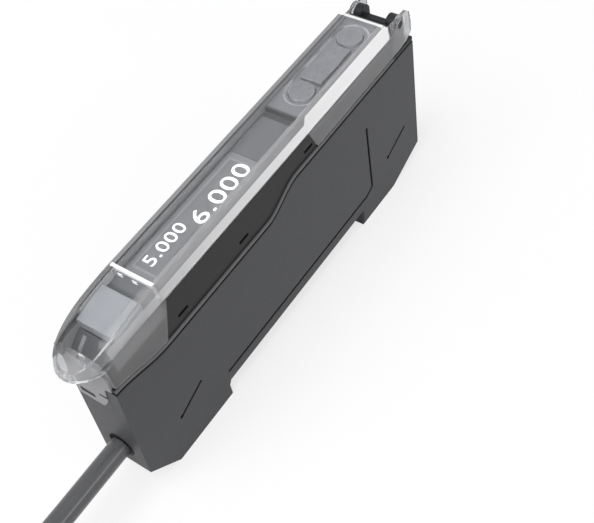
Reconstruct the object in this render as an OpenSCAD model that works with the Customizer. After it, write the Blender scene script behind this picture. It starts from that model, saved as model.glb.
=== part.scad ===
// Slim rail-mounted amplifier of a contact displacement sensor, with a hinged clear cover and its lead.
// Millimetres. X runs along the body, the lead leaves at -X and the cover is hinged at +X. Z is up.
// The origin is under the middle of the body, on the plane of its two feet.

/* [Case] */
// Length of the case, from its front face to its back face
case_l = 69.7; // [69:0.1:71]
// Width of the case and of everything that lies flush with its sides
case_w = 8; // [7.8:0.1:9]
// Height over all, from the feet to the flat top of the cover
top_h = 32; // [31:0.1:34]
// How far the case's top edge lies below that along the display
low_drop = 10.4; // [10:0.1:11]
// The same behind the step
high_drop = 7.7; // [7.4:0.1:8]
// The same at the front face
front_drop = 8.6; // [8.2:0.1:9]
// Wall of the case
case_wall = 1; // [0.8:0.05:1.1]
// Length of the slope under the front face
toe_l = 4.9; // [4:0.1:5.5]
// Height of the slope under the front face
toe_h = 4.7; // [4:0.1:5]
// Length of the slope under the back face
heel_l = 8; // [7:0.1:9]
// Height of the slope under the back face
heel_h = 3.1; // [2.5:0.1:4]
// How far the front face leans back over its height
front_rake = 0.9; // [0:0.1:1]
// Width of the moulded lines in the sides
groove_w = 0.4; // [0.3:0.05:0.6]
// Depth of the moulded lines in the sides
groove_d = 0.35; // [0.2:0.05:0.5]

/* [Rail recess] */
// Width between the two feet, for a 35 mm rail
rail_w = 35.4; // [35.2:0.1:35.6]
// Depth of the recess between the feet
rail_depth = 3; // [2.6:0.1:3.2]
// Distance from the front face to the recess
rail_from_front = 17; // [16.5:0.1:17.5]
// Undercut of the catch on the back foot
catch_cut = 0.5; // [0.3:0.1:0.6]
// Height of the catch's nose on the back foot
catch_h = 1.6; // [1.2:0.1:2]

/* [Top frame] */
// Height of the visible bead above the case's edge
bead_h = 0.6; // [0.4:0.05:0.7]
// Gap between the case's edge and the bead
bead_gap = 0.3; // [0.2:0.05:0.4]
// Wall of the top frame
frame_wall = 0.6; // [0.5:0.05:0.7]
// Clearance of the top frame in the mouth of the case
frame_clear = 0.1; // [0.05:0.01:0.15]
// How far the deck around the display lies below the cover's top
deck_drop = 2.1; // [2:0.1:2.3]
// The same for the deck around the keys
key_deck_drop = 1.4; // [1.35:0.05:1.5]
// How far the decks lie inside the case's sides, so that the cover passes them
deck_inset = 1.05; // [1.02:0.01:1.3]
// Thickness of both decks
deck_t = 0.8; // [0.6:0.1:0.9]
// How far the bare side panels lie inside the case's sides
panel_inset = 0.2; // [0.15:0.05:0.25]

/* [Clear cover] */
// Width of the cover's flat top
top_w = 7.1; // [6.9:0.1:7.2]
// Wall of the clear cover
cover_wall = 0.6; // [0.5:0.05:0.62]
// How far the cover's nose reaches past the front face
nose_reach = 2.1; // [1.8:0.1:2.3]
// How far the cover's sides reach down where they bare the side panels
skirt_drop = 3.1; // [2.9:0.1:3.2]
// Radius of the ears round the cover's hinge
ear_r = 1.4; // [1.3:0.05:1.5]
// Radius of the hinge pins
pin_r = 0.6; // [0.5:0.05:0.7]
// Running clearance between a pin and its hole, on the radius
pin_clear = 0.05; // [0.03:0.01:0.08]
// Distance from the hinge axis to the back face
hinge_from_back = 2.9; // [2.8:0.1:3.1]
// How far the hinge axis lies below the cover's top
hinge_drop = 2.6; // [2.5:0.05:2.7]

/* [Keys] */
// Radius of the two round buttons
button_r = 1.8; // [1.6:0.05:1.9]
// Clearance round a key in the deck
key_clear = 0.12; // [0.1:0.01:0.15]
// How far the keys stand out of the deck
key_proud = 0.3; // [0.2:0.05:0.35]
// How far a round button travels
key_travel = 0.3; // [0.2:0.05:0.3]
// Length of the rocker key
rocker_l = 7.6; // [7:0.1:7.8]
// Width of the rocker key
rocker_w = 3.2; // [3:0.1:3.4]

/* [Lead] */
// Diameter of the lead
cable_d = 3.1; // [2.9:0.05:3.3]
// Height of the lead's axis where it leaves the case
cable_h = 8.4; // [8:0.1:9]
// Radius of the hole for the lead in the front face
cable_hole_r = 2.1; // [2:0.05:2.2]

/* [Hidden] */

// Small overlap that lets a cut break through a face cleanly
eps = 0.05;
// Gap between fixed pieces that are set into one another
fit_gap = 0.1;
round_fn = 48;

low_h = top_h - low_drop;
high_h = top_h - high_drop;
front_h = top_h - front_drop;
deck_h = top_h - deck_drop;
key_deck_h = top_h - key_deck_drop;
skirt_h = top_h - skirt_drop;
hinge_h = top_h - hinge_drop;
half_w = case_w / 2;
in_half = half_w - case_wall;
front_x = -(case_l - nose_reach) / 2;
back_x = front_x + case_l;
nose_x = front_x - nose_reach;
front_top_x = front_x + front_rake;
rail_x0 = front_x + rail_from_front;
rail_x1 = rail_x0 + rail_w;
floor_z = rail_depth + case_wall;
band_x = back_x - 26.6;

// Top edge of the case: a rise at the front and a step before the keys
rise_x0 = front_x + 10.3;
rise_x1 = front_x + 0.8;
step_x0 = band_x - 11.3;
step_x1 = band_x - 3.8;
rise_n = 8;
step_n = 10;

function smooth(t) = t <= 0 ? 0 : t >= 1 ? 1 : t * t * (3 - 2 * t);
function edge_z(x) =
  low_h
  + (front_h - low_h) * smooth((rise_x0 - x) / (rise_x0 - rise_x1))
  + (high_h - low_h) * smooth((x - step_x0) / (step_x1 - step_x0));
function mix(a, b, t) = a + (b - a) * t;
function reversed(list) = [for (i = [len(list) - 1:-1:0]) list[i]];

// Stations along the top edge, from x0 to x1
function edge_xs(x0, x1) = concat(
  [x0],
  [for (i = [0:rise_n]) let (x = mix(rise_x1, rise_x0, i / rise_n)) if (x > x0 + eps && x < x1 - eps) x],
  [for (i = [0:step_n]) let (x = mix(step_x0, step_x1, i / step_n)) if (x > x0 + eps && x < x1 - eps) x],
  [x1]
);
function edge_line(x0, x1, up) = [for (x = edge_xs(x0, x1)) [x, edge_z(x) + up]];
function edge_band(x0, x1, low, high) = concat(edge_line(x0, x1, low), reversed(edge_line(x0, x1, high)));

// A plate cut to an outline in X and Z, between two places in Y
module slab(points, y0, y1) {
  translate([0, y1, 0])
    rotate([90, 0, 0])
      linear_extrude(height = y1 - y0)
        polygon(points);
}

// A box between two corners
module block(low, high) {
  translate(low)
    cube(high - low);
}

// A round bar along Y
module bar_y(x, z, r, y0, y1, fn = round_fn) {
  translate([x, y1, z])
    rotate([90, 0, 0])
      cylinder(r = r, h = y1 - y0, $fn = fn);
}

// A shallow line pressed into both sides of the case, with a round end
module side_line(points) {
  for (side = [-1, 1])
    for (i = [0:len(points) - 2])
      side_stroke(points[i], points[i + 1], side);
}

module side_stroke(a, b, side) {
  run = b - a;
  y0 = side > 0 ? half_w - groove_d : -half_w - eps;
  translate([a[0], y0, a[1]])
    rotate([0, -atan2(run[1], run[0]), 0])
      translate([0, 0, -groove_w / 2])
        cube([norm(run), groove_d + eps, groove_w]);
  bar_y(b[0], b[1], groove_w / 2, y0, y0 + groove_d + eps, 16);
}

// Case

// Lines in the sides: the free edge of the catch arm and two short flexing slits
arm_line = [
  [rail_x1 + 3.5, high_h - 5.9], [rail_x1 + 3.4, floor_z + 1.8],
  [rail_x1 + 1.8, floor_z + 1.05], [rail_x0 + 0.7, floor_z + 1.05]
];
back_slit = [[back_x - 3.7, heel_h + 6.8], [back_x - 8.9, heel_h + 4.6]];
front_slit = [[front_x + 12.8, toe_h + 5.05], [front_x + 7.8, toe_h + 2.9]];
slit_dot_r = 0.35;

function case_outline() = concat(
  [
    [front_x, toe_h], [front_x + toe_l, 0], [rail_x0, 0], [rail_x0, rail_depth - 0.8],
    [rail_x0 + 0.5, rail_depth], [rail_x1 + catch_cut, rail_depth], [rail_x1 + catch_cut, catch_h],
    [rail_x1, 0], [back_x - heel_l, 0], [back_x, heel_h]
  ],
  reversed(edge_line(front_top_x, back_x, 0))
);

in_front_x = front_top_x + case_wall;
in_back_x = back_x - case_wall;

function case_cavity() = concat(
  [
    [in_front_x, toe_h + 0.4], [front_x + toe_l + 0.6, case_wall], [rail_x0 - case_wall, case_wall],
    [rail_x0 - case_wall, floor_z], [rail_x1 + catch_cut + case_wall, floor_z],
    [rail_x1 + catch_cut + case_wall, case_wall], [back_x - heel_l, case_wall],
    [in_back_x, heel_h + 0.6]
  ],
  reversed(edge_line(in_front_x, in_back_x, eps))
);

// Ribs on the floor that hold the main board on edge
board_y = 0.4;
board_t = 1;
rib_xs = [rail_x0 + 4, rail_x1 - 4];
rib_l = 1.2;
rib_h = 2.2;
rib_gap = 0.05;

module case() {
  color([0.32, 0.325, 0.34])
    union() {
      difference() {
        slab(case_outline(), -half_w, half_w);
        slab(case_cavity(), -in_half, in_half);
        translate([front_x - 1, 0, cable_h])
          rotate([0, 90, 0])
            cylinder(r = cable_hole_r, h = 1 + front_rake + case_wall + 1, $fn = round_fn);
        block(
          [front_x - 1, -socket_half - fit_gap, socket_z0 - fit_gap],
          [in_front_x + eps, socket_half + fit_gap, front_h + 1]
        );
        side_line(arm_line);
        side_line(back_slit);
        side_line(front_slit);
        for (dot = [back_slit[1], front_slit[1]]) {
          bar_y(dot[0], dot[1], slit_dot_r, -half_w - eps, -half_w + groove_d, 16);
          bar_y(dot[0], dot[1], slit_dot_r, half_w - groove_d, half_w + eps, 16);
        }
      }
      for (x = rib_xs) {
        block([x, -in_half - eps, floor_z - eps], [x + rib_l, board_y - rib_gap, floor_z + rib_h]);
        block([x, board_y + board_t + rib_gap, floor_z - eps], [x + rib_l, in_half + eps, floor_z + rib_h]);
      }
    }
}

// Top frame

core_half = in_half - frame_clear;
deck_half = half_w - deck_inset;
core_front_x = in_front_x + fit_gap;
core_back_x = in_back_x - fit_gap;
skirt_depth = 2.2;
bead_top = bead_gap + bead_h;
display_x0 = nose_x + 14.9;
display_x1 = band_x - 8.3;
deck_end_x = back_x - 5;
panel_x0 = front_x + 12.6;
panel_low_x0 = front_x + 10.6;
panel_x1 = band_x;
panel_low_x1 = band_x + 1.5;
panel_top = skirt_h - 0.15;
slope_x = front_x + 4;
slope_z = deck_h - 1.6;
front_wall_z = deck_h - 3;

// Side outline of the frame above its skirt: back shelf, key deck, display deck and front slope
function core_outline(low, in, down) = concat(
  edge_line(core_front_x + in, core_back_x - in, low),
  [
    [core_back_x - in, high_h + bead_top - down], [deck_end_x - in, high_h + bead_top - down],
    [deck_end_x - in, key_deck_h - down], [band_x + in, key_deck_h - down],
    [band_x + in, deck_h - down], [lens_x1, deck_h - down],
    [slope_x + in, slope_z - down], [core_front_x + in, front_wall_z - down]
  ]
);

lug_half = 0.6;
lug_y = half_w - 1.35;
lug_r = 1.3;
hinge_x = back_x - hinge_from_back;
crossbar_t = 1;
pin_tip_y = half_w - 0.1;

// A hinge lug of the frame with the pin that stands out of its side
module hinge_lug(side) {
  y0 = side * lug_y - lug_half;
  y1 = side * lug_y + lug_half;
  pin_a = side * (lug_y + lug_half - eps);
  pin_b = side * pin_tip_y;
  bar_y(hinge_x, hinge_h, lug_r, y0, y1);
  block([hinge_x - lug_r, y0, high_h + bead_gap], [hinge_x + lug_r, y1, hinge_h]);
  bar_y(hinge_x, hinge_h, pin_r, min(pin_a, pin_b), max(pin_a, pin_b));
}

side_slots = [[panel_x0 + 0.7, low_h + 2.5], [band_x - 16.9, low_h + 2.6], [band_x - 1.4, high_h + 2.2]];
side_slot_l = 1.9;
side_slot_h = 0.55;
side_slot_d = 0.5;

module side_slot(x, z, side) {
  y0 = side > 0 ? half_w - panel_inset - side_slot_d : -half_w;
  block([x, y0, z - side_slot_h / 2], [x + side_slot_l, y0 + panel_inset + side_slot_d, z + side_slot_h / 2]);
}

// The sunk field of the keys, with round ends
module key_field(depth) {
  translate([0, 0, key_deck_h - depth])
    linear_extrude(height = depth + 1)
      union() {
        translate([field_x0 + field_half, 0])
          circle(r = field_half, $fn = round_fn);
        translate([field_x1 - field_half, 0])
          circle(r = field_half, $fn = round_fn);
        translate([field_x0 + field_half, -field_half])
          square([field_x1 - field_x0 - 2 * field_half, 2 * field_half]);
      }
}

module top_frame() {
  color([0.24, 0.24, 0.25])
    difference() {
      union() {
        slab(core_outline(bead_gap, 0, 0), -deck_half, deck_half);
        slab(edge_band(core_front_x, core_back_x, -skirt_depth, bead_gap + eps), -core_half, core_half);
        slab(edge_band(front_top_x + 0.1, back_x - 0.1, bead_gap, bead_top), -half_w, half_w);
        slab(
          concat(
            edge_line(panel_low_x0, panel_low_x1, bead_top - eps),
            [[panel_x1, panel_top], [panel_x0, panel_top]]
          ),
          -half_w + panel_inset,
          half_w - panel_inset
        );
        for (side = [-1, 1])
          hinge_lug(side);
        block(
          [hinge_x - crossbar_t / 2, -lug_y, high_h + bead_gap],
          [hinge_x + crossbar_t / 2, lug_y, hinge_h - 0.2]
        );
      }
      slab(core_outline(-skirt_depth - 1, frame_wall, deck_t), -core_half + frame_wall, core_half - frame_wall);
      block(
        [display_x0 - fit_gap, -window_half - fit_gap, deck_h - deck_t - 1],
        [display_x1 + fit_gap, window_half + fit_gap, deck_h + 1]
      );
      slab(lens_section(fit_gap, 2, fit_gap), -half_w, half_w);
      slab(lens_section(fit_gap, 2, 1.3), -core_half + frame_wall, core_half - frame_wall);
      slab(guide_section(0.05, 1), guide_y - guide_half - 0.05, guide_y + guide_half + 0.05);
      key_field(key_field_depth);
      for (x = [set_x, mode_x])
        translate([x, 0, key_deck_h - deck_t - 1])
          cylinder(r = button_r + key_clear, h = deck_t + 2, $fn = round_fn);
      block(
        [rocker_x - rocker_l / 2 - key_clear, -rocker_w / 2 - key_clear, key_deck_h - deck_t - 1],
        [rocker_x + rocker_l / 2 + key_clear, rocker_w / 2 + key_clear, key_deck_h + 1]
      );
      bar_y(rocker_x, rocker_pin_z, rocker_pin_r + pin_clear, -rocker_pin_y - 0.1, rocker_pin_y + 0.1);
      block(
        [front_x, -socket_half - fit_gap, socket_z0 - 1],
        [socket_x1 + fit_gap, socket_half + fit_gap, socket_z1 + fit_gap]
      );
      for (slot = side_slots)
        for (side = [-1, 1])
          side_slot(slot[0], slot[1], side);
    }
}

// Light guide: the narrow bar set into the slope under the nose

guide_y = 1.6;
guide_half = 0.25;
guide_sink = 0.4;
guide_rise = 0.15;

function on_slope(t, up) = [mix(slope_x, core_front_x, t), mix(slope_z, front_wall_z, t) + up];
function guide_section(grow, up) = [
  on_slope(0.1 - grow / 2, -guide_sink - grow), on_slope(0.9 + grow / 2, -guide_sink - grow),
  on_slope(0.9 + grow / 2, guide_rise + up), on_slope(0.1 - grow / 2, guide_rise + up)
];

module light_guide() {
  color([0.8, 0.8, 0.82])
    slab(guide_section(0, 0), guide_y - guide_half, guide_y + guide_half);
}

// Head socket: the light block under the nose that takes the plug of the sensor head

socket_half = 2.1;
tab_z0 = front_h - 4.9;
socket_z0 = tab_z0;
socket_z1 = front_h + 3.2;
socket_x0 = front_x + 0.65;
socket_x1 = front_x + 6;
plate_t = 0.45;
plate_half = half_w - 0.6;
plate_z0 = front_h + 0.2;
plate_z1 = front_h + 4.2;
slot_y0 = 0.4;
slot_y1 = 2.8;
slot_z0 = tab_z0 + 1;
slot_h = 0.9;
slot_deep_y1 = socket_half - 0.2;
pin_w = 0.2;
pin_pitch = 0.35;

function face_x(z) = front_x + front_rake * (z - toe_h) / (front_h - toe_h);

module socket_pin(i) {
  y0 = slot_y0 + 0.22 + i * pin_pitch;
  z0 = slot_z0 + slot_h / 2;
  color([0.85, 0.7, 0.35])
    block([socket_x1 - 3, y0, z0 - pin_w / 2], [socket_x1 + board_gap, y0 + pin_w, z0 + pin_w / 2]);
}

module head_socket() {
  color([0.52, 0.52, 0.54])
    difference() {
      union() {
        block([socket_x0, -socket_half, socket_z0], [socket_x1, socket_half, socket_z1]);
        intersection() {
          slab(
            [
              [face_x(tab_z0) - plate_t, tab_z0], [face_x(tab_z0), tab_z0],
              [face_x(plate_z1), plate_z1], [face_x(plate_z1) - plate_t, plate_z1]
            ],
            -plate_half,
            plate_half
          );
          translate([front_x - 2, 0, 0])
            rotate([90, 0, 90])
              linear_extrude(height = 4)
                polygon([
                  [plate_half, tab_z0], [plate_half, plate_z1], [-plate_half, plate_z1],
                  [-plate_half, plate_z0], [-2, plate_z0], [-2, tab_z0 + 2.3], [-0.4, tab_z0]
                ]);
        }
      }
      block([front_x - 2, slot_y0, slot_z0], [face_x(slot_z0), slot_y1, slot_z0 + slot_h]);
      block([front_x - 2, slot_y0, slot_z0], [socket_x1 - 1, slot_deep_y1, slot_z0 + slot_h]);
      block([front_x - 2, -2, tab_z0 + 2.6], [front_x + 1.2, -1, tab_z0 + 3]);
      block([front_x - 2, -1.3, tab_z0 + 2.6], [front_x + 1.2, -1, tab_z0 + 3.6]);
      block([front_x - 2, -socket_half, plate_z1 - 0.5], [face_x(plate_z1) - plate_t / 2, -0.3, plate_z1 + 1]);
      for (i = [0:3])
        socket_pin(i);
    }
}

module socket_pin_1() {
  socket_pin(0);
}

module socket_pin_2() {
  socket_pin(1);
}

module socket_pin_3() {
  socket_pin(2);
}

module socket_pin_4() {
  socket_pin(3);
}

// Display

window_half = deck_half - 0.3;
window_t = 0.6;
window_proud = 0.1;
module_t = 1.4;
board_half = core_half - frame_wall - 0.1;

module display_window() {
  color([0.5, 0.5, 0.54])
    block(
      [display_x0, -window_half, deck_h + window_proud - window_t],
      [display_x1, window_half, deck_h + window_proud]
    );
}

module display_module() {
  color([0.16, 0.16, 0.18])
    block(
      [display_x0 + 0.4, -board_half + 0.1, top_board_z + top_board_t],
      [display_x1 - 0.4, board_half - 0.1, deck_h + window_proud - window_t]
    );
}

// Boards

top_board_t = 0.8;
top_board_z = deck_h + window_proud - window_t - module_t - top_board_t;
top_board_x0 = front_x + 5.1;
top_board_x1 = deck_end_x - frame_wall - 0.3;
top_board_top = top_board_z + top_board_t;

module display_board() {
  color([0.1, 0.32, 0.2])
    block([top_board_x0, -board_half, top_board_z], [top_board_x1, board_half, top_board_top]);
}

board_gap = 0.3;
main_z0 = floor_z + 0.1;
main_z1 = low_h - 0.4;
main_x0 = socket_x1 + board_gap;
main_x1 = back_x - 3;

module main_board() {
  color([0.1, 0.32, 0.2])
    block([main_x0, board_y, main_z0], [main_x1, board_y + board_t, main_z1]);
}

module board_header() {
  color([0.08, 0.08, 0.08])
    block([band_x - 4, board_y - 1, main_z1], [band_x + 4, board_y + board_t + 0.2, top_board_z]);
}

module processor_chip() {
  color([0.09, 0.09, 0.1])
    block([-4, board_y - 1.2, 10], [3, board_y, 17]);
}

module output_driver() {
  color([0.09, 0.09, 0.1])
    block([front_x + 13, board_y - 1.1, 9], [front_x + 18, board_y, 13]);
}

capacitor_r = 1.15;

module supply_capacitor() {
  color([0.2, 0.22, 0.3])
    translate([back_x - 14, board_y - capacitor_r, 8])
      cylinder(r = capacitor_r, h = 7, $fn = round_fn);
}

terminal_x0 = main_x0 + 0.5;
terminal_half = 2.4;

module wire_terminal() {
  color([0.86, 0.86, 0.82])
    block(
      [terminal_x0, board_y - 2, cable_h - terminal_half],
      [terminal_x0 + 2.4, board_y, cable_h + terminal_half]
    );
}

wire_n = 4;
wire_r = 0.3;
wire_pitch = 0.62;

module inner_wire(i) {
  translate([cable_inner_x, board_y - 1.15, cable_h + (i - (wire_n - 1) / 2) * wire_pitch])
    rotate([0, 90, 0])
      cylinder(r = wire_r, h = terminal_x0 - cable_inner_x, $fn = 16);
}

module inner_wire_1() {
  color([0.42, 0.24, 0.13])
    inner_wire(0);
}

module inner_wire_2() {
  color([0.13, 0.25, 0.6])
    inner_wire(1);
}

module inner_wire_3() {
  color([0.06, 0.06, 0.06])
    inner_wire(2);
}

module inner_wire_4() {
  color([0.85, 0.85, 0.85])
    inner_wire(3);
}

// Indicator in the nose

lens_x0 = front_x + 4.4;
lens_x1 = front_x + 9.5;
lens_half = deck_half - 0.05;

function lens_section(grow, up, down) = [
  [lens_x0 - grow, deck_h - 1.4 - down], [lens_x1 + grow, deck_h - 0.7 - down],
  [lens_x1 + grow, deck_h + 1 + up], [lens_x0 - grow, deck_h + 0.25 + up]
];

module indicator_lens() {
  color([0.72, 0.73, 0.75])
    slab(lens_section(0, 0, 0), -lens_half, lens_half);
}

module indicator_led(x) {
  color([0.9, 0.9, 0.86])
    block([x - 0.8, -0.6, top_board_top], [x + 0.8, 0.6, top_board_top + 0.5]);
}

module indicator_led_1() {
  indicator_led(top_board_x0 + 1);
}

module indicator_led_2() {
  indicator_led(top_board_x0 + 3.2);
}

// Keys

field_half = 2.45;
field_x0 = band_x + 2.1;
field_x1 = deck_end_x - 2.1;
key_field_depth = 0.12;
mode_x = field_x0 + field_half;
set_x = field_x1 - field_half - 0.4;
rocker_x = (mode_x + set_x) / 2;
key_top = key_deck_h + key_proud;
flange_t = 0.5;
flange_out = 0.3;
flange_gap = 0.05;
flange_z = key_deck_h - deck_t - flange_gap - flange_t;
switch_x_shift = 2.6;
switch_half = 0.9;
switch_t = 0.55;
plunger_t = 0.2;
switch_top = top_board_top + switch_t + plunger_t;

// A round button: its cap, the flange that keeps it under the deck, and its foot over the switch
module round_button(x) {
  color([0.3, 0.3, 0.32])
    translate([x, 0, 0])
      union() {
        translate([0, 0, flange_z])
          cylinder(r = button_r, h = key_top - flange_z, $fn = round_fn);
        translate([0, 0, flange_z])
          cylinder(r = button_r + flange_out, h = flange_t, $fn = round_fn);
        translate([0, 0, switch_top + key_travel + flange_gap])
          cylinder(r = 0.5, h = key_top - 0.3 - switch_top - key_travel - flange_gap, $fn = 24);
      }
}

module set_button() {
  round_button(set_x);
}

module mode_button() {
  round_button(mode_x);
}

rocker_pin_r = 0.4;
rocker_pin_y = core_half - frame_wall + 0.4;
rocker_pin_z = key_deck_h - deck_t - 0.75;
rocker_low = key_deck_h - deck_t - 0.1;
rocker_dish_r = 12;
rocker_dish_d = 0.15;

// A rocker: its cap tips on two small pins that sit in the frame's side walls
module rocker_key() {
  color([0.3, 0.3, 0.32])
    union() {
      difference() {
        block(
          [rocker_x - rocker_l / 2, -rocker_w / 2, rocker_low],
          [rocker_x + rocker_l / 2, rocker_w / 2, key_top]
        );
        bar_y(rocker_x, key_top + rocker_dish_r - rocker_dish_d, rocker_dish_r, -rocker_w, rocker_w, 96);
      }
      block(
        [rocker_x - 0.8, -rocker_w / 2, rocker_pin_z - 0.6],
        [rocker_x + 0.8, rocker_w / 2, rocker_low + 0.1]
      );
      bar_y(rocker_x, rocker_pin_z, rocker_pin_r, -rocker_pin_y, rocker_pin_y);
      for (shift = [-switch_x_shift, switch_x_shift])
        translate([rocker_x + shift, 0, switch_top + 0.2])
          cylinder(r = 0.5, h = rocker_low + 0.1 - switch_top - 0.2, $fn = 24);
    }
}

module key_switch(x) {
  color([0.75, 0.75, 0.77])
    union() {
      block(
        [x - switch_half, -switch_half, top_board_top],
        [x + switch_half, switch_half, top_board_top + switch_t]
      );
      translate([x, 0, top_board_top + switch_t - eps])
        cylinder(r = 0.45, h = plunger_t + eps, $fn = 24);
    }
}

module key_switch_1() {
  key_switch(mode_x);
}

module key_switch_2() {
  key_switch(rocker_x - switch_x_shift);
}

module key_switch_3() {
  key_switch(rocker_x + switch_x_shift);
}

module key_switch_4() {
  key_switch(set_x);
}

// Clear cover

plan_n = 20;
nose_len = 4.5;
crown_len = 8.2;
crown_tip = 0.8;
crown_drop = 3.1;
crown_n = 8;
flat_x0 = nose_x + 14.1;
flat_x1 = back_x - 6.7;
top_half = top_w / 2;
bill_h = top_h - 3.8;
side_half = half_w - 0.05;
side_start_x = front_x + 1.35;
side_end_x = back_x - 0.2;
swing_gap = 0.2;
swing_r = hinge_h - high_h - bead_top - swing_gap;
hook_ys = [2.7, -0.7];

// Plan of the cover at one height: straight sides with a half-ellipse for a nose
function nose_plan(half, tip_x, len, x1) = concat(
  [[x1, half]],
  [for (i = [0:plan_n]) let (a = 90 + 180 * i / plan_n) [tip_x + len + len * cos(a), half * sin(a)]],
  [[x1, -half]]
);

module plan_slice(z, half, tip_x, len, x1) {
  translate([0, 0, z])
    linear_extrude(height = 0.01)
      polygon(nose_plan(half, tip_x, len, x1));
}

// The closed outer form of the cover, drawn in by a wall
module cover_form(wall) {
  x1 = back_x + 1;
  hull() {
    plan_slice(bill_h, side_half - wall, nose_x + wall, nose_len - wall, x1);
    plan_slice(top_h - 0.01 - wall, top_half - wall, nose_x + crown_tip + wall, crown_len, x1);
  }
  translate([0, 0, low_h - 1])
    linear_extrude(height = bill_h - low_h + 1 + 0.01)
      polygon(nose_plan(side_half - wall, nose_x + wall, nose_len - wall, x1));
}

// The line of the cover's top, from its flat part down to the nose
function crown(down) = [
  for (i = [0:crown_n])
    let (t = i / crown_n)
      [mix(flat_x0, nose_x - 1, t), top_h - down - crown_drop * t * t]
];

// Side outline of what is kept of the cover
function cover_side() = concat(
  edge_line(side_start_x, side_end_x, bead_top + fit_gap),
  [
    [side_end_x, hinge_h + 0.4], [side_end_x - 0.8, hinge_h + 1.1], [flat_x1 + 1.6, hinge_h + 1.3],
    [flat_x1 + 0.7, top_h - 0.9], [flat_x1, top_h]
  ],
  crown(0),
  [[nose_x - 1, bill_h], [side_start_x, bill_h]]
);

// Side outline of the room inside the cover
function cover_room() = concat(
  [[nose_x - 2, low_h - 2], [back_x + 2, low_h - 2], [back_x + 2, top_h - cover_wall]],
  crown(cover_wall),
  [[nose_x - 2, top_h - cover_wall - crown_drop]]
);

// The gap in the cover's skirt that shows the frame's side panel
function skirt_gap() = [
  [panel_low_x0 - fit_gap, low_h - 2], [panel_low_x0 - fit_gap, edge_z(panel_low_x0) + bead_top],
  [panel_x0 - fit_gap, skirt_h], [panel_x1 + fit_gap, skirt_h],
  [panel_low_x1 + fit_gap, edge_z(panel_low_x1) + bead_top], [panel_low_x1 + fit_gap, low_h - 2]
];

module clear_cover() {
  ear_y0 = side_half - cover_wall;
  color([0.85, 0.87, 0.9, 0.35])
    difference() {
      union() {
        difference() {
          intersection() {
            cover_form(0);
            slab(cover_side(), -half_w, half_w);
          }
          intersection() {
            cover_form(cover_wall);
            slab(cover_room(), -half_w, half_w);
          }
          slab(skirt_gap(), -half_w - 1, half_w + 1);
          block([flat_x1, -side_half + cover_wall, low_h], [back_x + 1, side_half - cover_wall, top_h + 1]);
        }
        for (side = [-1, 1])
          bar_y(
            hinge_x, hinge_h, ear_r,
            side > 0 ? ear_y0 : -side_half,
            side > 0 ? side_half : -ear_y0
          );
        for (y = hook_ys)
          block([nose_x + 2.6, y - 0.3, bill_h - 0.3], [nose_x + 3.3, y + 0.3, bill_h + 2]);
        block(
          [flat_x0 - 0.25, -top_half + cover_wall, top_h - cover_wall - 0.3],
          [flat_x0 + 0.25, top_half - cover_wall, top_h - cover_wall + eps]
        );
      }
      bar_y(hinge_x, hinge_h, pin_r + pin_clear, -half_w - 1, half_w + 1);
      difference() {
        block([hinge_x, -half_w - 1, low_h], [back_x + 1, half_w + 1, hinge_h]);
        bar_y(hinge_x, hinge_h, swing_r, -half_w - 2, half_w + 2, 96);
      }
    }
}

// Lead

cable_r = cable_d / 2;
cable_inner_x = front_x + 3.4;
cable_sides = 8;

// Route of the lead from inside the case to the outer run of its hank
cable_path = [
  [-30.4, 0, 8.4], [-34, 0, 8.4], [-38, 0, 8.4], [-42, 0, 8.4], [-45, 0, 8.4], [-48, 0, 8.4],
  [-52, -0.1, 8], [-55, -0.7, 7.3], [-58, -1.7, 6.3], [-61, -3.1, 5.2], [-64, -4.6, 4.15],
  [-67, -6.2, 3.2], [-70, -7.8, 2.5], [-73, -9.3, 2.1], [-76, -10.7, 2.05], [-79, -11.7, 2.05],
  [-82, -12.3, 2.05], [-85, -12.4, 2.05], [-88, -12.4, 2.05]
];

function unit(v) = v / norm(v);
function path_run(path, i) = unit(path[min(i + 1, len(path) - 1)] - path[max(i - 1, 0)]);
function ring(path, i, r, n) =
  let (
    run = path_run(path, i),
    out = unit(cross(run, [0, 0, 1])),
    up = cross(out, run)
  )
  [for (k = [0:n - 1]) path[i] + r * (cos(360 * k / n) * out + sin(360 * k / n) * up)];

// A round tube along a path, closed at both ends
module tube(path, r, n) {
  rings = [for (i = [0:len(path) - 1]) for (p = ring(path, i, r, n)) p];
  sides = [
    for (i = [0:len(path) - 2])
      for (k = [0:n - 1])
        [i * n + k, i * n + (k + 1) % n, (i + 1) * n + (k + 1) % n, (i + 1) * n + k]
  ];
  start = [for (k = [n - 1:-1:0]) k];
  end = [for (k = [0:n - 1]) (len(path) - 1) * n + k];
  polyhedron(points = rings, faces = concat(sides, [start, end]), convexity = 4);
}

module cable() {
  color([0.3, 0.3, 0.31])
    tube(cable_path, cable_r, cable_sides);
}

// The hank in line with the housing: six rows of two turns, half a turn on top, a tie on each run
tie_t = 0.5;
tie_w = 2.5;
tie_slack = 0.1;
tie_lock_h = 1.6;
hank_x = -110;
hank_run = 48;
hank_cols = 2;
hank_rows = 6;
fold_r = 3 * cable_d;
hank_in_r = fold_r - cable_r;
hank_out_r = hank_in_r + hank_cols * cable_d;
hank_mid_r = (hank_in_r + hank_out_r) / 2;
hank_top = tie_t + hank_rows * cable_d;
last_top = hank_top + cable_d;
tie_at = 5;
last_from = -2;
cut_at = -6;

// Two straight runs and a half round fold at each end
module hank_plan(r) {
  square([hank_run, 2 * r], center = true);
  for (x = [-hank_run / 2, hank_run / 2])
    translate([x, 0])
      circle(r = r, $fn = 64);
}

module hank_ring(r0, r1, z0, z1) {
  translate([0, 0, z0])
    linear_extrude(z1 - z0)
      difference() {
        hank_plan(r1);
        hank_plan(r0);
      }
}

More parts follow.
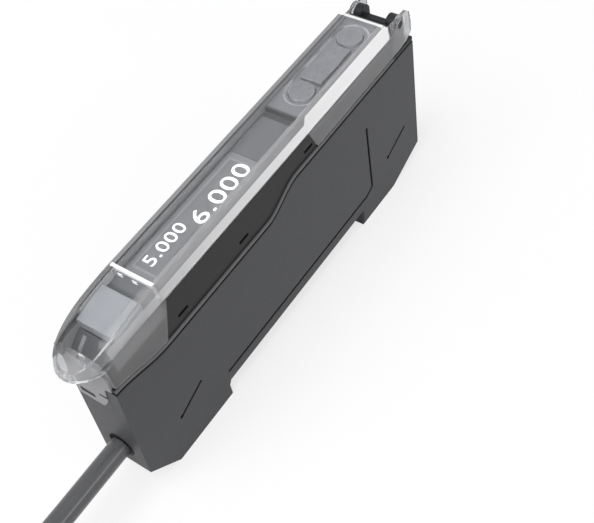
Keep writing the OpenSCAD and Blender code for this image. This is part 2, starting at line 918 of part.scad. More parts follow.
module cable_coil() {
  color([0.3, 0.3, 0.31])
    translate([hank_x, 0, 0])
      union() {
        hank_ring(hank_in_r, hank_out_r, tie_t, hank_top);
        intersection() {
          hank_ring(hank_mid_r, hank_out_r, hank_top - eps, last_top);
          union() {
            block([last_from, 0, hank_top - 1], [hank_run / 2 + hank_out_r, hank_out_r, last_top + 1]);
            block([cut_at, -hank_out_r, hank_top - 1], [hank_run / 2 + hank_out_r, eps, last_top + 1]);
          }
        }
      }
}

// A tie round one run of the hank, with its lock on top
module coil_tie(turned) {
  y0 = hank_in_r - tie_t - tie_slack;
  y1 = hank_out_r + tie_t;
  color([0.08, 0.08, 0.08])
    translate([hank_x + tie_at, 0, 0])
      rotate([0, 0, turned])
        difference() {
          union() {
            block([-tie_w / 2, y0, 0], [tie_w / 2, y1, last_top + tie_t]);
            block(
              [-tie_w / 2 - 0.6, y1 - 5.4, last_top + tie_t - eps],
              [tie_w / 2 + 0.6, y1 - 1.9, last_top + tie_t + tie_lock_h]
            );
          }
          block([-tie_w, y0 + tie_t, tie_t], [tie_w, y1 - tie_t, last_top]);
        }
}

module coil_tie_1() {
  coil_tie(0);
}

module coil_tie_2() {
  coil_tie(180);
}

// The four stripped leads past the end of the jacket, lying on the hank
lead_r = 0.35;
lead_pitch = 0.75;
lead_l = 17;

module lead_end(i) {
  translate([hank_x + cut_at, -(fold_r + cable_d) + (i - (wire_n - 1) / 2) * lead_pitch, hank_top + lead_r])
    rotate([0, -90, 0])
      cylinder(r = lead_r, h = lead_l - 2 * (i % 2), $fn = 16);
}

module lead_end_1() {
  color([0.42, 0.24, 0.13])
    lead_end(0);
}

module lead_end_2() {
  color([0.13, 0.25, 0.6])
    lead_end(1);
}

module lead_end_3() {
  color([0.06, 0.06, 0.06])
    lead_end(2);
}

module lead_end_4() {
  color([0.85, 0.85, 0.85])
    lead_end(3);
}

// Grommet round the lead in the front wall

grommet_x0 = front_x + 0.5;
grommet_x1 = front_x + 3;
grommet_clear = 0.05;
grommet_flange = 0.6;

module cable_grommet() {
  flange_x0 = in_front_x + grommet_clear;
  color([0.07, 0.07, 0.07])
    difference() {
      union() {
        translate([grommet_x0, 0, cable_h])
          rotate([0, 90, 0])
            cylinder(r = cable_hole_r - grommet_clear, h = grommet_x1 - grommet_x0, $fn = round_fn);
        translate([flange_x0, 0, cable_h])
          rotate([0, 90, 0])
            cylinder(r = cable_hole_r + grommet_flange, h = grommet_x1 - flange_x0, $fn = round_fn);
      }
      translate([grommet_x0 - 1, 0, cable_h])
        rotate([0, 90, 0])
          cylinder(r = cable_r + 0.02, h = grommet_x1 - grommet_x0 + 3, $fn = round_fn);
    }
}

case();
top_frame();
light_guide();
head_socket();
socket_pin_1();
socket_pin_2();
socket_pin_3();
socket_pin_4();
display_window();
display_module();
display_board();
board_header();
main_board();
processor_chip();
output_driver();
supply_capacitor();
wire_terminal();
inner_wire_1();
inner_wire_2();
inner_wire_3();
inner_wire_4();
indicator_lens();
indicator_led_1();
indicator_led_2();
set_button();
mode_button();
rocker_key();
key_switch_1();
key_switch_2();
key_switch_3();
key_switch_4();
clear_cover();
cable_grommet();
cable();
cable_coil();
coil_tie_1();
coil_tie_2();
lead_end_1();
lead_end_2();
lead_end_3();
lead_end_4();
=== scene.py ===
import math

import bmesh
import bpy
from bpy.props import FloatProperty, FloatVectorProperty, IntProperty, PointerProperty, StringProperty
from mathutils import Matrix, Vector


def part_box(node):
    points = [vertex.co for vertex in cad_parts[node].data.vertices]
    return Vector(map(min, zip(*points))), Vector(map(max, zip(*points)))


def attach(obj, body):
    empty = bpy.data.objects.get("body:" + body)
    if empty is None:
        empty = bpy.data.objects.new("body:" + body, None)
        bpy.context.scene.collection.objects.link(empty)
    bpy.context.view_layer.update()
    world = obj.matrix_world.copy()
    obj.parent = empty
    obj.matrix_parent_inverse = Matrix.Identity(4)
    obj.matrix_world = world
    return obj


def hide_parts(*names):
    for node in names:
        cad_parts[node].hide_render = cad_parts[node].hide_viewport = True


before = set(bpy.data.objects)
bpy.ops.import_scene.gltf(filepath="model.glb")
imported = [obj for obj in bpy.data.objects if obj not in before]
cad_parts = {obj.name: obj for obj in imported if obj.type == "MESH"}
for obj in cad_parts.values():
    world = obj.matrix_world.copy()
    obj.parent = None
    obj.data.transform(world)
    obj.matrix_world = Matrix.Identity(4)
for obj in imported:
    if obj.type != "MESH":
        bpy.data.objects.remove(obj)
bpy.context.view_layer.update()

bl_info = {
    "name": "Rail-mounted sensor amplifier",
    "version": (1, 0, 0),
    "blender": (4, 5, 0),
    "location": "3D View > Sidebar > Amplifier",
    "description": "Dresses the amplifier's solids, adds its readings, lead and ties, and lights it",
    "category": "Object",
}

MM = 0.001
# The slits of the case and the lines of its catch arm: their ends along X and Z, in millimetres.
SIDE_LINES = (
    ((-26.0, 7.6), (-21.0, 9.75)), ((27.0, 7.7), (32.2, 9.9)),
    ((22.1, 18.4), (22.0, 5.8)), ((22.0, 5.8), (20.4, 5.05)), ((20.4, 5.05), (-16.1, 5.05)),
)
# Places that several finishes share, in millimetres: where the cover's ears, the key field and the cover's
# rib begin along X, and how high the cover's skirt reaches.
EARS, KEY_FIELD, RIB, SKIRT = 30.3, 9.6, -22.1, 29.0
# The colours of the four wires, at the lead's bared end and inside the housing.
WIRE_COLOURS = ((0.16, 0.06, 0.025), (0.02, 0.07, 0.32), (0.012, 0.012, 0.013), (0.7, 0.7, 0.69))


# ---------------------------------------------------------------- settings

def colour_value(name, description, default):
    """A colour that the sidebar shows as a swatch."""
    return FloatVectorProperty(
        name=name, description=description, default=default, size=3, min=0, max=1, subtype="COLOR"
    )


def length_value(name, description, default):
    """A length in metres."""
    return FloatProperty(
        name=name, description=description, default=default, subtype="DISTANCE", unit="LENGTH", precision=5
    )


class AmplifierStage(bpy.types.PropertyGroup):
    """The camera, the floor and the light."""

    eye: FloatVectorProperty(
        name="Camera place", description="Where the camera stands", default=(-0.06201, -0.06580, 0.12234),
        size=3, subtype="TRANSLATION", unit="LENGTH", precision=5,
    )
    turn: FloatVectorProperty(
        name="Camera turn", description="How the camera is turned", size=3, subtype="EULER",
        default=tuple(math.radians(a) for a in (37.604, 7.562, -55.639)),
    )
    lens: FloatProperty(name="Lens", description="Focal length on a 36 mm wide sensor", default=60.245, unit="CAMERA")
    floor_size: length_value("Floor", "Side of the square floor", 3.0)
    floor_colour: colour_value("Floor colour", "Colour of the pale floor", (0.86, 0.86, 0.87))
    floor_white: FloatProperty(
        name="Floor white", description="How far the camera sees the floor as plain white", default=0.72,
        min=0, max=1, subtype="FACTOR",
    )
    world_level: FloatProperty(name="World level", description="Light of the surroundings", default=0.55, min=0)
    key_power: FloatProperty(name="Key light", description="Power of the large lamp", default=3.2, unit="POWER")
    fill_power: FloatProperty(name="Fill light", description="Power of the side lamp", default=0.5, unit="POWER")


class AmplifierHousing(bpy.types.PropertyGroup):
    """Colours of the moulded housing."""

    case_colour: colour_value("Case", "Colour of the lower case", (0.048, 0.049, 0.0525))
    frame_colour: colour_value("Frame", "Colour of the frame's outer panels", (0.016, 0.016, 0.0172))
    deck_colour: colour_value("Deck", "Colour of the frame's deck under the cover", (0.205, 0.205, 0.216))
    bead_colour: colour_value("Bead", "Colour of the bead along the frame's lower edge", (0.13, 0.13, 0.135))
    hinge_colour: colour_value("Hinge lugs", "Colour of the lugs behind the cover", (0.018, 0.019, 0.02))
    socket_colour: colour_value("Socket", "Colour of the block at the front", (0.235, 0.235, 0.248))
    lens_colour: colour_value("Lens", "Colour of the frosted lens", (0.4, 0.415, 0.435))
    key_colour: colour_value("Keys", "Colour of the keys", (0.27, 0.27, 0.285))
    socket_near: length_value("Socket's near side", "Where the block's near side lies along Y", -0.0034)
    socket_far: length_value("Socket's far side", "Where the block's far side lies along Y", 0.0036)
    edge_round: length_value("Edge rounding", "Radius that the light sees on moulded edges", 0.00018)


class AmplifierCover(bpy.types.PropertyGroup):
    """The hinged clear cover."""

    tint: colour_value("Tint", "Colour of the clear plastic", (0.93, 0.94, 0.955))
    # Painted reflection: the near wall's strip is painted white where it would mirror the lamps, in this colour.
    strip_reflection_colour: colour_value("Strip", "Colour of the near wall's frosted strip", (0.93, 0.93, 0.935))
    # How strong the strip's painted reflection is near the nose.
    strip_reflection_front: FloatProperty(
        name="Strip at the front", description="How frosted the strip is near the nose", default=0.2,
        min=0, max=1, subtype="FACTOR",
    )
    haze: FloatProperty(
        name="Haze", description="How hazy the rest of the side walls is", default=0.85, min=0, max=1, subtype="FACTOR",
    )
    haze_colour: colour_value("Haze colour", "Colour of that haze", (0.45, 0.45, 0.46))
    # Painted shade: the nose and the ears take this greyer tint, darkening what is seen through them.
    nose_shade_tint: colour_value("Nose tint", "Colour of the clear plastic at the nose", (0.74, 0.75, 0.77))
    edge_round: length_value("Cover's edges", "Radius that the light sees on the cover's edges", 0.00025)
    strip_top: length_value("Strip's top", "Height of the strip's upper edge beside the display", 0.03068)
    strip_step: length_value("Strip's step", "How much higher that edge is beside the keys", 0.00105)
    # How strong the strip's painted reflection is near the hinge.
    strip_reflection_back: FloatProperty(
        name="Strip at the back", description="How frosted the strip is near the hinge", default=0.97,
        min=0, max=1, subtype="FACTOR",
    )


class AmplifierDisplay(bpy.types.PropertyGroup):
    """The window and its two readings."""

    window_colour: colour_value("Window", "Colour of the dark window", (0.305, 0.305, 0.312))
    reading_colour: colour_value("Readings", "Colour of the lit digits", (1.0, 1.0, 1.0))
    main_text: StringProperty(name="Main reading", description="Digits of the large reading", default="6.000")
    small_text: StringProperty(name="Small reading", description="Digits of the small reading", default="5.000")
    main_height: length_value("Main height", "Height of the large digits", 0.0025)
    small_height: length_value("Small height", "Height of the small digits", 0.00185)


class AmplifierLead(bpy.types.PropertyGroup):
    """The lead and the hank that it is folded into."""

    diameter: length_value("Diameter", "Diameter of the lead", 0.0031)
    hank_x: length_value("Hank's middle", "How far the hank's middle lies along X", -0.110)
    run: length_value("Run", "Length of the hank's straight runs", 0.048)
    fold: length_value("Fold", "Radius at the middle of the inner turn's folds", 0.0093)
    turns: IntProperty(name="Turns", description="Full turns of the hank", default=12, min=1)
    lift: length_value("Lift", "Height of the lowest turn's middle over the floor", 0.00205)
    cut: length_value("Cut", "Where the jacket ends, from the hank's middle", -0.006)
    tie_at: length_value("Ties", "Where the ties are, from the hank's middle", 0.005)
    tie_width: length_value("Tie width", "Width of a tie's strap", 0.0024)
    steps: IntProperty(name="Steps", description="Points on each turn", default=48, min=12)
    jacket_colour: colour_value("Jacket", "Colour of the lead", (0.055, 0.056, 0.06))
    tie_colour: colour_value("Tie colour", "Colour of the hank's ties", (0.02, 0.02, 0.021))


# ---------------------------------------------------------------- materials
# Places on a piece are in millimetres; grain sizes, bump depths and edge radii are in metres, as Blender has them.

class Value:
    """A socket of a node, on which Python arithmetic adds Math nodes."""

    def __init__(self, nodes, socket):
        self.nodes = nodes
        self.socket = socket

    def maths(self, operation, *values):
        """One Math node of that operation on these values."""
        return self.nodes.node("ShaderNodeMath", {"operation": operation}, dict(enumerate(values)))

    def __add__(self, other):
        return self.maths("ADD", self, other)

    def __radd__(self, other):
        return self.maths("ADD", other, self)

    def __sub__(self, other):
        return self.maths("SUBTRACT", self, other)

    def __rsub__(self, other):
        return self.maths("SUBTRACT", other, self)

    def __mul__(self, other):
        return self.maths("MULTIPLY", self, other)

    def __rmul__(self, other):
        return self.maths("MULTIPLY", other, self)

    def __abs__(self):
        return self.maths("ABSOLUTE", self)

    def least(self, other):
        """The lesser of this and another value."""
        return self.maths("MINIMUM", self, other)

    def most(self, other):
        """The greater of this and another value."""
        return self.maths("MAXIMUM", self, other)

    def hypot(self, other):
        """The long side of a right-angled triangle whose short sides are this and another value."""
        squares = self * self + other * other
        return squares.maths("SQRT", squares)


class Nodes:
    """The nodes of a material or of the world."""

    def __init__(self, tree):
        self.tree = tree

    def set(self, node, values):
        """Sets a node's sockets, by number, identifier or name, to values or links."""
        sockets = {s.identifier: s for s in node.inputs}
        for name, value in values.items():
            socket = node.inputs[name] if isinstance(name, int) else sockets.get(name) or node.inputs[name]
            if isinstance(value, Value):
                self.tree.links.new(value.socket, socket)
            elif isinstance(value, (int, float)):
                socket.default_value = value
            else:
                socket.default_value = (*value, 1.0) if socket.type == "RGBA" and len(value) == 3 else value

    def node(self, kind, settings=None, values=None, output=0):
        """Any node: its settings first, then its sockets. Returns the output that is asked for."""
        made = self.tree.nodes.new(kind)
        for name, value in (settings or {}).items():
            setattr(made, name, value)
        self.set(made, values or {})
        return Value(self, made.outputs[output])

    def seen(self):
        """1 for what the camera sees, also in gloss and through clear plastic, and 0 for what only lights."""
        rays = ("Is Camera Ray", "Is Glossy Ray", "Is Transmission Ray")
        return sum(self.node("ShaderNodeLightPath", output=ray) for ray in rays).least(1)


class Finish(Nodes):
    """A material: its shader's constants, and the nodes that feed what changes over the surface."""

    def __init__(self, name, constants):
        self.material = bpy.data.materials.new(name)
        self.material.use_nodes = True
        super().__init__(self.material.node_tree)
        self.shader = self.tree.nodes["Principled BSDF"]
        self.set(self.shader, constants)

    def feed(self, **values):
        """Feeds the shader's sockets."""
        self.set(self.shader, {name.replace("_", " "): value for name, value in values.items()})

    def overlay(self, mask, shader):
        """Shows another shader in place of the material's own where the mask is 1."""
        own = Value(self, self.shader.outputs[0])
        mixed = self.node("ShaderNodeMixShader", None, {0: mask, 1: own, 2: shader})
        self.set(self.tree.nodes["Material Output"], {"Surface": mixed})

    def place(self):
        """The point on the piece, in the shared frame, in metres."""
        return self.node("ShaderNodeTexCoord", output="Object")

    def axes(self):
        """The point's three coordinates, in millimetres."""
        apart = self.node("ShaderNodeSeparateXYZ", None, {0: self.place()}).socket.node
        return [Value(self, coordinate) * (1 / MM) for coordinate in apart.outputs]

    def flat(self):
        """The direction that the surface faces, without rounding or bumps."""
        return self.node("ShaderNodeNewGeometry", output="Normal")

    def facing(self, name):
        """One coordinate of that direction."""
        return self.node("ShaderNodeSeparateXYZ", None, {0: self.flat()}, name)

    def noise(self, size, detail=2.0, stretch=None):
        """Noise with grains of about that size, in metres, and 0.5 on average."""
        point = self.place()
        if stretch:
            point = self.node("ShaderNodeMapping", None, {"Vector": point, "Scale": stretch})
        return self.node("ShaderNodeTexNoise", None, {"Vector": point, "Scale": 1 / size, "Detail": detail})

    def cells(self, scale, settings=None, **values):
        """The distance from the middle of the cell that the point is in."""
        return self.node("ShaderNodeTexVoronoi", settings, {"Vector": self.place(), "Scale": scale, **values})

    def rise(self, value, low, high):
        """0 below low, 1 above high and a soft step between. With low over high it falls instead."""
        if low > high:
            return 1 - self.rise(value, high, low)
        settings = {"interpolation_type": "SMOOTHSTEP"}
        return self.node("ShaderNodeMapRange", settings, {"Value": value, "From Min": low, "From Max": high})

    def within(self, value, low, high, soft=0.05):
        """1 between low and high."""
        return self.rise(value, low - soft, low + soft) * self.rise(value, high + soft, high - soft)

    def line(self, across, up, start, end, half):
        """1 on a line between two points of that plane, falling to 0 at half its width."""
        run = Vector(end) - Vector(start)
        length = run.length
        run.normalize()
        across, up = across - start[0], up - start[1]
        off = abs(across * run.y - up * run.x)
        return self.within(across * run.x + up * run.y, 0, length) * self.rise(off, half, half * 0.5)

    def mix(self, factor, a, b):
        """One colour where the factor is 0 and the other where it is 1."""
        values = {"Factor_Float": factor, "A_Color": a, "B_Color": b}
        return self.node("ShaderNodeMix", {"data_type": "RGBA"}, values, 2)

    def mottled(self, pattern, colour, spread):
        """A colour that a pattern makes darker and lighter by up to that share."""
        return self.mix(pattern, shade(colour, 1 - spread), shade(colour, 1 + spread))

    def painted(self, tone, *coats):
        """A colour with others laid over it in turn, each where its mask is 1."""
        for mask, colour in coats:
            tone = self.mix(mask, tone, colour)
        return tone

    def rounded(self, radius):
        """The normal that the surface would have with rounded edges."""
        return self.node("ShaderNodeBevel", {"samples": 6}, {"Radius": radius})

    def edges(self, normal):
        """1 on the edges that the rounded normal turns."""
        both = {0: normal, 1: self.flat()}
        alike = self.node("ShaderNodeVectorMath", {"operation": "DOT_PRODUCT"}, both, "Value")
        return self.rise(alike, 0.99, 0.8)

    def bump(self, height, depth, normal=None, strength=1.0):
        """The normal of a surface with that height, depth metres deep."""
        base = {"Normal": normal} if normal else {}
        return self.node("ShaderNodeBump", None, {"Strength": strength, "Distance": depth, "Height": height, **base})


def shade(colour, factor):
    """A colour made lighter or darker."""
    return tuple(min(1.0, c * factor) for c in colour)


def dress(names, finish):
    """Gives CAD nodes a finish."""
    for name in names:
        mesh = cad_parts[name].data
        mesh.materials.clear()
        mesh.materials.append(finish.material)


def moulded_plastic(name, colour, roughness, grain=0.00011, depth=0.000006, edge=0.00018, wear_and_glint=0.35):
    """Moulded plastic: spark-eroded grain, faint flow marks and paler, smoother edges, whose paleness is partly wear
    and partly painted highlight.
    """
    finish = Finish(name, {"IOR": 1.5, "Specular IOR Level": 0.28})
    flow = finish.noise(0.02, 3, (1, 1, 0.4))
    speck = finish.noise(0.0006, 3)
    normal = finish.rounded(edge)
    rim = finish.edges(normal)
    # The edges that the rounded normal turns are made paler: partly wear, partly a painted highlight.
    finish.tone = finish.painted(
        finish.mottled(flow, colour, 0.06),
        (finish.rise(speck, 0.62, 0.75) * 0.25, shade(colour, 1.35)),
        (rim * wear_and_glint, shade(colour, 1.7)),
    )
    finish.feed(
        Base_Color=finish.tone,
        Roughness=roughness + (speck - 0.5) * 0.12 - rim * 0.12,
        Normal=finish.bump(finish.noise(grain, 2), depth, normal),
    )
    return finish


def cover_painted_highlights(finish, cover):
    """1 where the cover is painted white: a painted reflection on its near strip, and painted highlights on its rib and
    the dashes before it, its rear edge and the nose's near shoulder.
    """
    x, y, z = finish.axes()
    top = cover.strip_top / MM + finish.rise(x, KEY_FIELD - 0.8, KEY_FIELD) * (cover.strip_step / MM)
    strip = finish.rise(y, -3.4, -3.6) * finish.rise(z, SKIRT - 0.1, SKIRT + 0.1) * finish.rise(z - top, 0.08, -0.08)
    amount = cover.strip_reflection_front + finish.rise(x, -24, 26) * (cover.strip_reflection_back - cover.strip_reflection_front)
    amount = amount * (0.45 + finish.rise(x, -26.2, -20.2) * 0.55) * finish.rise(x, EARS, EARS - 0.4)
    crown = finish.rise(z, 29.4, 29.6) * finish.rise(abs(y), 3.4, 3.2)
    rib = finish.within(x, RIB, RIB + 0.5) * crown
    notches = finish.within(y, 0.9, 1.7) + finish.within(y, -1.4, -0.6)
    dashes = finish.within(x, RIB - 0.52, RIB - 0.34) * notches * crown
    rear = finish.within(x, 28.7, 29.2) * finish.rise(z, 31.5, 31.7)
    shoulder = finish.within(x, -31.2, -22.2) * finish.rise(y, -2.1, -2.4) * finish.rise(z, 26.2, 26.8)
    return (strip * amount + rib * 0.95 + dashes * 0.9 + rear * 0.75 + shoulder * 0.12).least(1)


def cover_haze(finish, cover):
    """1 where the cover is hazy, and the haze's tone: its walls, the nose's far cheek and tip, and the ears. The tone
    holds painted shade on the far wall, painted light on the far wall's inner face and a painted dark reflection on the
    far cheek.
    """
    x, y, z = finish.axes()
    side, far = abs(y), finish.rise(y, -1, 1)
    walls = finish.rise(side, 2.85, 3.0) * finish.rise(z, SKIRT, SKIRT + 0.2) * finish.rise(x, EARS, EARS - 0.4)
    behind_rib = finish.rise(x, RIB - 0.5, RIB + 0.7)
    walls = walls * (0.3 + far * 0.25 + behind_rib * (0.7 - far * 0.25)) * (cover.haze * (0.55 + far * 0.45))
    cheek = far * finish.rise(x, -28.2, -29.2) * finish.rise(side, 2.6, 2.8) * finish.rise(z, 25.0, 25.6)
    tip, ears = finish.rise(x, -32.2, -33.8), finish.rise(x, EARS, EARS + 0.6)
    inner = far * finish.rise(finish.facing("Y"), -0.3, -0.6) * finish.rise(x, RIB - 1.5, RIB + 0.5)
    # Painted shade darkens the far wall, painted light brightens its inner face, which turns to the near side, and the
    # far cheek gets a painted dark reflection.
    tone = finish.painted(
        cover.haze_colour,
        (far, shade(cover.haze_colour, 0.6)),
        (inner, shade(cover.haze_colour, 1.3)),
        (cheek, shade(cover.haze_colour, 0.4)),
    )
    return (walls + cheek * 0.65 + tip * 0.3 + ears * 0.18).least(1), tone


def clear_plastic(name, cover):
    """Clear moulded cover: a polished top, a satin skirt, hazy walls with painted shade and light, painted white
    reflections and highlights, and fine scuffs.
    """
    finish = Finish(name, {"Base Color": cover.tint, "Roughness": 0.02, "IOR": 1.42, "Transmission Weight": 1.0})
    x, y, z = finish.axes()
    nose, ears = finish.rise(x, -32.5, -34.5), finish.rise(x, EARS, EARS + 0.4)
    skirt = finish.rise(z, SKIRT + 0.1, SKIRT - 0.1) * finish.rise(abs(y), 2.9, 3.1) * finish.rise(x, -33.2, -32.6)
    scuffs = finish.rise(finish.noise(0.0008, 4, (6, 1, 1)), 0.6, 0.75)
    upper_edges = finish.rise(z, 30.2, 31.0) * cover.edge_round
    finish.feed(
        # Painted shade: the nose and the ears take a greyer tint, darkening what is seen through them.
        Base_Color=finish.mix(nose + ears, cover.tint, cover.nose_shade_tint),
        Roughness=0.015 + scuffs * 0.05 + skirt * 0.29,
        Normal=finish.bump(finish.noise(0.009, 2), 0.00002, finish.rounded(upper_edges), 0.5),
    )
    white = cover_painted_highlights(finish, cover)
    haze, tone = cover_haze(finish, cover)
    # A second shader shows the haze and the painted white reflections and highlights over the clear plastic.
    haze_and_reflection = finish.node("ShaderNodeBsdfPrincipled", None, {
        "Base Color": finish.mix(finish.rise(white, 0.02, 0.3), tone, cover.strip_reflection_colour),
        "Roughness": 0.3, "Specular IOR Level": 0.3,
    })
    finish.overlay(white + (1 - white) * haze, haze_and_reflection)
    return finish


def brushed_metal(name, colour, roughness):
    """Metal with fine drawn lines and a few dull spots."""
    finish = Finish(name, {"Metallic": 1.0})
    lines = finish.noise(0.0012, 4, (8, 8, 2 / 3))
    spots = finish.noise(0.0015, 3)
    finish.feed(
        Base_Color=finish.mix(spots, shade(colour, 0.85), shade(colour, 1.08)),
        Roughness=roughness + (lines - 0.5) * 0.25,
        Normal=finish.bump(lines, 0.000004, finish.rounded(0.00006)),
    )
    return finish


def cable_plastic(name, colour, roughness, gloss=0.4):
    """Soft extruded plastic: fine orange peel, faint bloom and scuffs."""
    finish = Finish(name, {"IOR": 1.5, "Specular IOR Level": gloss})
    bloom = finish.noise(0.006, 3)
    scuff = finish.rise(finish.noise(0.0018, 4), 0.6, 0.72)
    finish.tone = finish.mottled(bloom, colour, 0.12)
    finish.feed(
        Base_Color=finish.mix(scuff * 0.3, finish.tone, shade(colour, 1.6)),
        Roughness=roughness + (bloom - 0.5) * 0.2 + scuff * 0.1,
        Normal=finish.bump(finish.noise(0.00022, 3), 0.00001),
    )
    return finish


# ---------------------------------------------------------------- shapes

def scene_object(name, data):
    """A new object of the scene, at the origin."""
    made = bpy.data.objects.new(name, data)
    bpy.context.scene.collection.objects.link(made)
    return made


def mesh_object(name, build, finishes, smooth=True):
    """An object at the origin whose mesh the bmesh function builds."""
    mesh = bpy.data.meshes.new(name)
    form = bmesh.new()
    build(form)
    bmesh.ops.recalc_face_normals(form, faces=form.faces)
    form.to_mesh(mesh)
    form.free()
    for finish in finishes:
        mesh.materials.append(finish.material)
    for face in mesh.polygons:
        face.use_smooth = smooth
    return scene_object(name, mesh)


def lead_route(lead):
    """The points that the lead follows: out of the grommet, down to the floor and round the hank."""
    route = [
        (-30.4, 0, 8.4), (-34, 0, 8.4), (-38, 0, 8.4), (-42, 0, 8.4), (-45, 0, 8.4), (-48, 0, 8.4),
        (-52, -0.1, 8), (-55, -0.7, 7.3), (-58, -1.7, 6.3), (-61, -3.1, 5.2), (-64, -4.6, 4.15),
        (-67, -6.2, 3.2), (-70, -7.8, 2.5), (-73, -9.3, 2.1), (-76, -10.7, 2.05), (-79, -11.7, 2.05),
        (-82, -12.3, 2.05), (-85, -12.4, 2.05),
    ]
    d = lead.diameter
    half = lead.run / 2
    share = lead.run / (2 * lead.run + math.tau * (lead.fold + d / 2))
    # Where in a turn the lead crosses to its next place, how much of the turn that takes and how far it swings.
    crossing, crossing_length, swing = 0.505, 0.15, 0.2

    def column(place):
        """0 for the inner turn of a row and 1 for the outer one."""
        return place % 2 if place // 2 % 2 else 1 - place % 2

    def on_hank(part, radius, height):
        """A point that far round the hank, from the front end of the run on the near side."""
        if part < share:
            x, y = half - lead.run * part / share, -radius
        elif part < 0.5:
            angle = -math.pi * (0.5 + (part - share) / (0.5 - share))
            x, y = -half + radius * math.cos(angle), radius * math.sin(angle)
        elif part < 0.5 + share:
            x, y = -half + lead.run * (part - 0.5) / share, radius
        else:
            angle = math.pi * (0.5 - (part - 0.5 - share) / (0.5 - share))
            x, y = half + radius * math.cos(angle), radius * math.sin(angle)
        return Vector((lead.hank_x + x, y, height))

    points = [Vector(p) * MM for p in route]
    end = lead.turns + share * (half - lead.cut) / lead.run
    count = int(end * lead.steps)
    for i in range(count + 1):
        done = end * i / count
        place = int(done - crossing) if done >= crossing else -1
        t = min(1.0, (done - crossing - place) / crossing_length) if place >= 0 else 1.0
        t = t * t * (3 - 2 * t)
        here, to = max(place, 0), place + 1
        columns = column(here) + (column(to) - column(here)) * t
        rows = here // 2 + (to // 2 - here // 2) * t
        if here // 2 != to // 2:
            columns += (swing if column(here) else -swing) * math.sin(math.pi * t)
        points.append(on_hank(done % 1, lead.fold + d * columns, lead.lift + d * rows))
    return points


def smooth_line(points, parts, count):
    """The first points of a line with points between them, on a curve through them all."""
    line = []
    for i in range(count):
        a, b = points[i], points[i + 1]
        before = points[max(i - 1, 0)]
        after = points[i + 2]
        for k in range(parts):
            t = k / parts
            line.append(
                0.5 * (2 * a + (b - before) * t + (2 * before - 5 * a + 4 * b - after) * t * t
                       + (3 * a - before - 3 * b + after) * t ** 3)
            )
    return line + points[count:]


def soften(form, edges, radius, segments):
    """Rounds the sharp ones of these edges."""
    sharp = [e for e in edges if len(e.link_faces) == 2 and e.calc_face_angle(0) > 1.0]
    bmesh.ops.bevel(
        form, geom=sharp, offset=radius, offset_type="OFFSET", segments=segments, profile=0.5,
        affect="EDGES", material=-1,
    )


def block(form, low, high):
    """A block between two corners. Returns its corners."""
    before = set(form.verts)
    bmesh.ops.create_cube(form, size=1)
    corners = [v for v in form.verts if v not in before]
    low, high = Vector(low), Vector(high)
    bmesh.ops.scale(form, verts=corners, vec=high - low)
    bmesh.ops.translate(form, verts=corners, vec=(low + high) / 2)
    return corners


def hank_strap(form, outline, width, thick):
    """A strap round one run: its outline is rounded, drawn out to its width and thickened."""
    corners = [form.verts.new((-width / 2, y, z)) for y, z in outline]
    form.faces.new(corners)
    bmesh.ops.bevel(
        form, geom=corners, offset=0.0011, offset_type="OFFSET", segments=5, profile=0.5,
        affect="VERTICES", material=-1,
    )
    rim = list({edge for face in form.faces for edge in face.edges})
    bmesh.ops.delete(form, geom=list(form.faces), context="FACES_ONLY")
    drawn = bmesh.ops.extrude_edge_only(form, edges=rim)["geom"]
    side = [v for v in drawn if isinstance(v, bmesh.types.BMVert)]
    bmesh.ops.translate(form, verts=side, vec=(width, 0, 0))
    bmesh.ops.recalc_face_normals(form, faces=form.faces)
    bmesh.ops.solidify(form, geom=list(form.faces), thickness=thick)
    soften(form, form.edges, 0.00009, 2)


def strap_lock(form, y, z, width):
    """The strap's lock: a rounded block with a sunk mouth, and the strap's tapered free end."""
    long, high, brim = 0.00345, 0.0015, 0.0006
    corners = block(form, (-width / 2 - brim, y - long, z), (width / 2 + brim, y, z + high))
    faces = list({f for v in corners for f in v.link_faces})
    front = min(faces, key=lambda f: f.calc_center_median().y)
    bmesh.ops.inset_individual(form, faces=[front], thickness=0.0003, depth=0)
    bmesh.ops.translate(form, verts=list(front.verts), vec=(0, 0.0005, 0))
    soften(form, list({e for v in corners for e in v.link_edges}), 0.00022, 3)
    tail = block(form, (-width / 2, y - 0.0072, z + 0.0005), (width / 2, y - 0.002, z + 0.0009))
    bmesh.ops.scale(form, verts=[v for v in tail if v.co.y < y - 0.005], vec=(0.55, 1, 1))
    soften(form, list({e for v in tail for e in v.link_edges}), 0.0001, 2)


def hank_tie(lead, number):
    """One of the two straps that hold the hank, each round one of its runs."""
    finish = moulded_plastic("tie_plastic_%d" % number, lead.tie_colour, 0.4, 0.0004, 0.00001)
    d = lead.diameter
    below, above, inside, outside, slack = 0.00024, 0.00026, 0.00028, 0.00024, 0.0002
    low, high = below, lead.lift + d * (lead.turns // 2 - 0.5) + above
    near, far = lead.fold - d / 2 - inside, lead.fold + d * 1.5 + outside
    outline = [(near, low), (far, low), (far, high + d), (lead.fold + d / 2 - slack, high + d), (near, high)]

    def build(form):
        hank_strap(form, outline, lead.tie_width, 0.0004)
        strap_lock(form, far - 0.0012, high + d + 0.00018, lead.tie_width)
        turn = Matrix.Rotation(0 if number == 1 else math.pi, 4, "Z")
        place = Matrix.Translation((lead.hank_x + lead.tie_at, 0, 0))
        bmesh.ops.transform(form, matrix=place @ turn, verts=form.verts)

    made = mesh_object("hank_strap_%d" % number, build, [finish], smooth=False)
    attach(made, "housing")
    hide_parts("coil_tie_%d" % number)
    return made


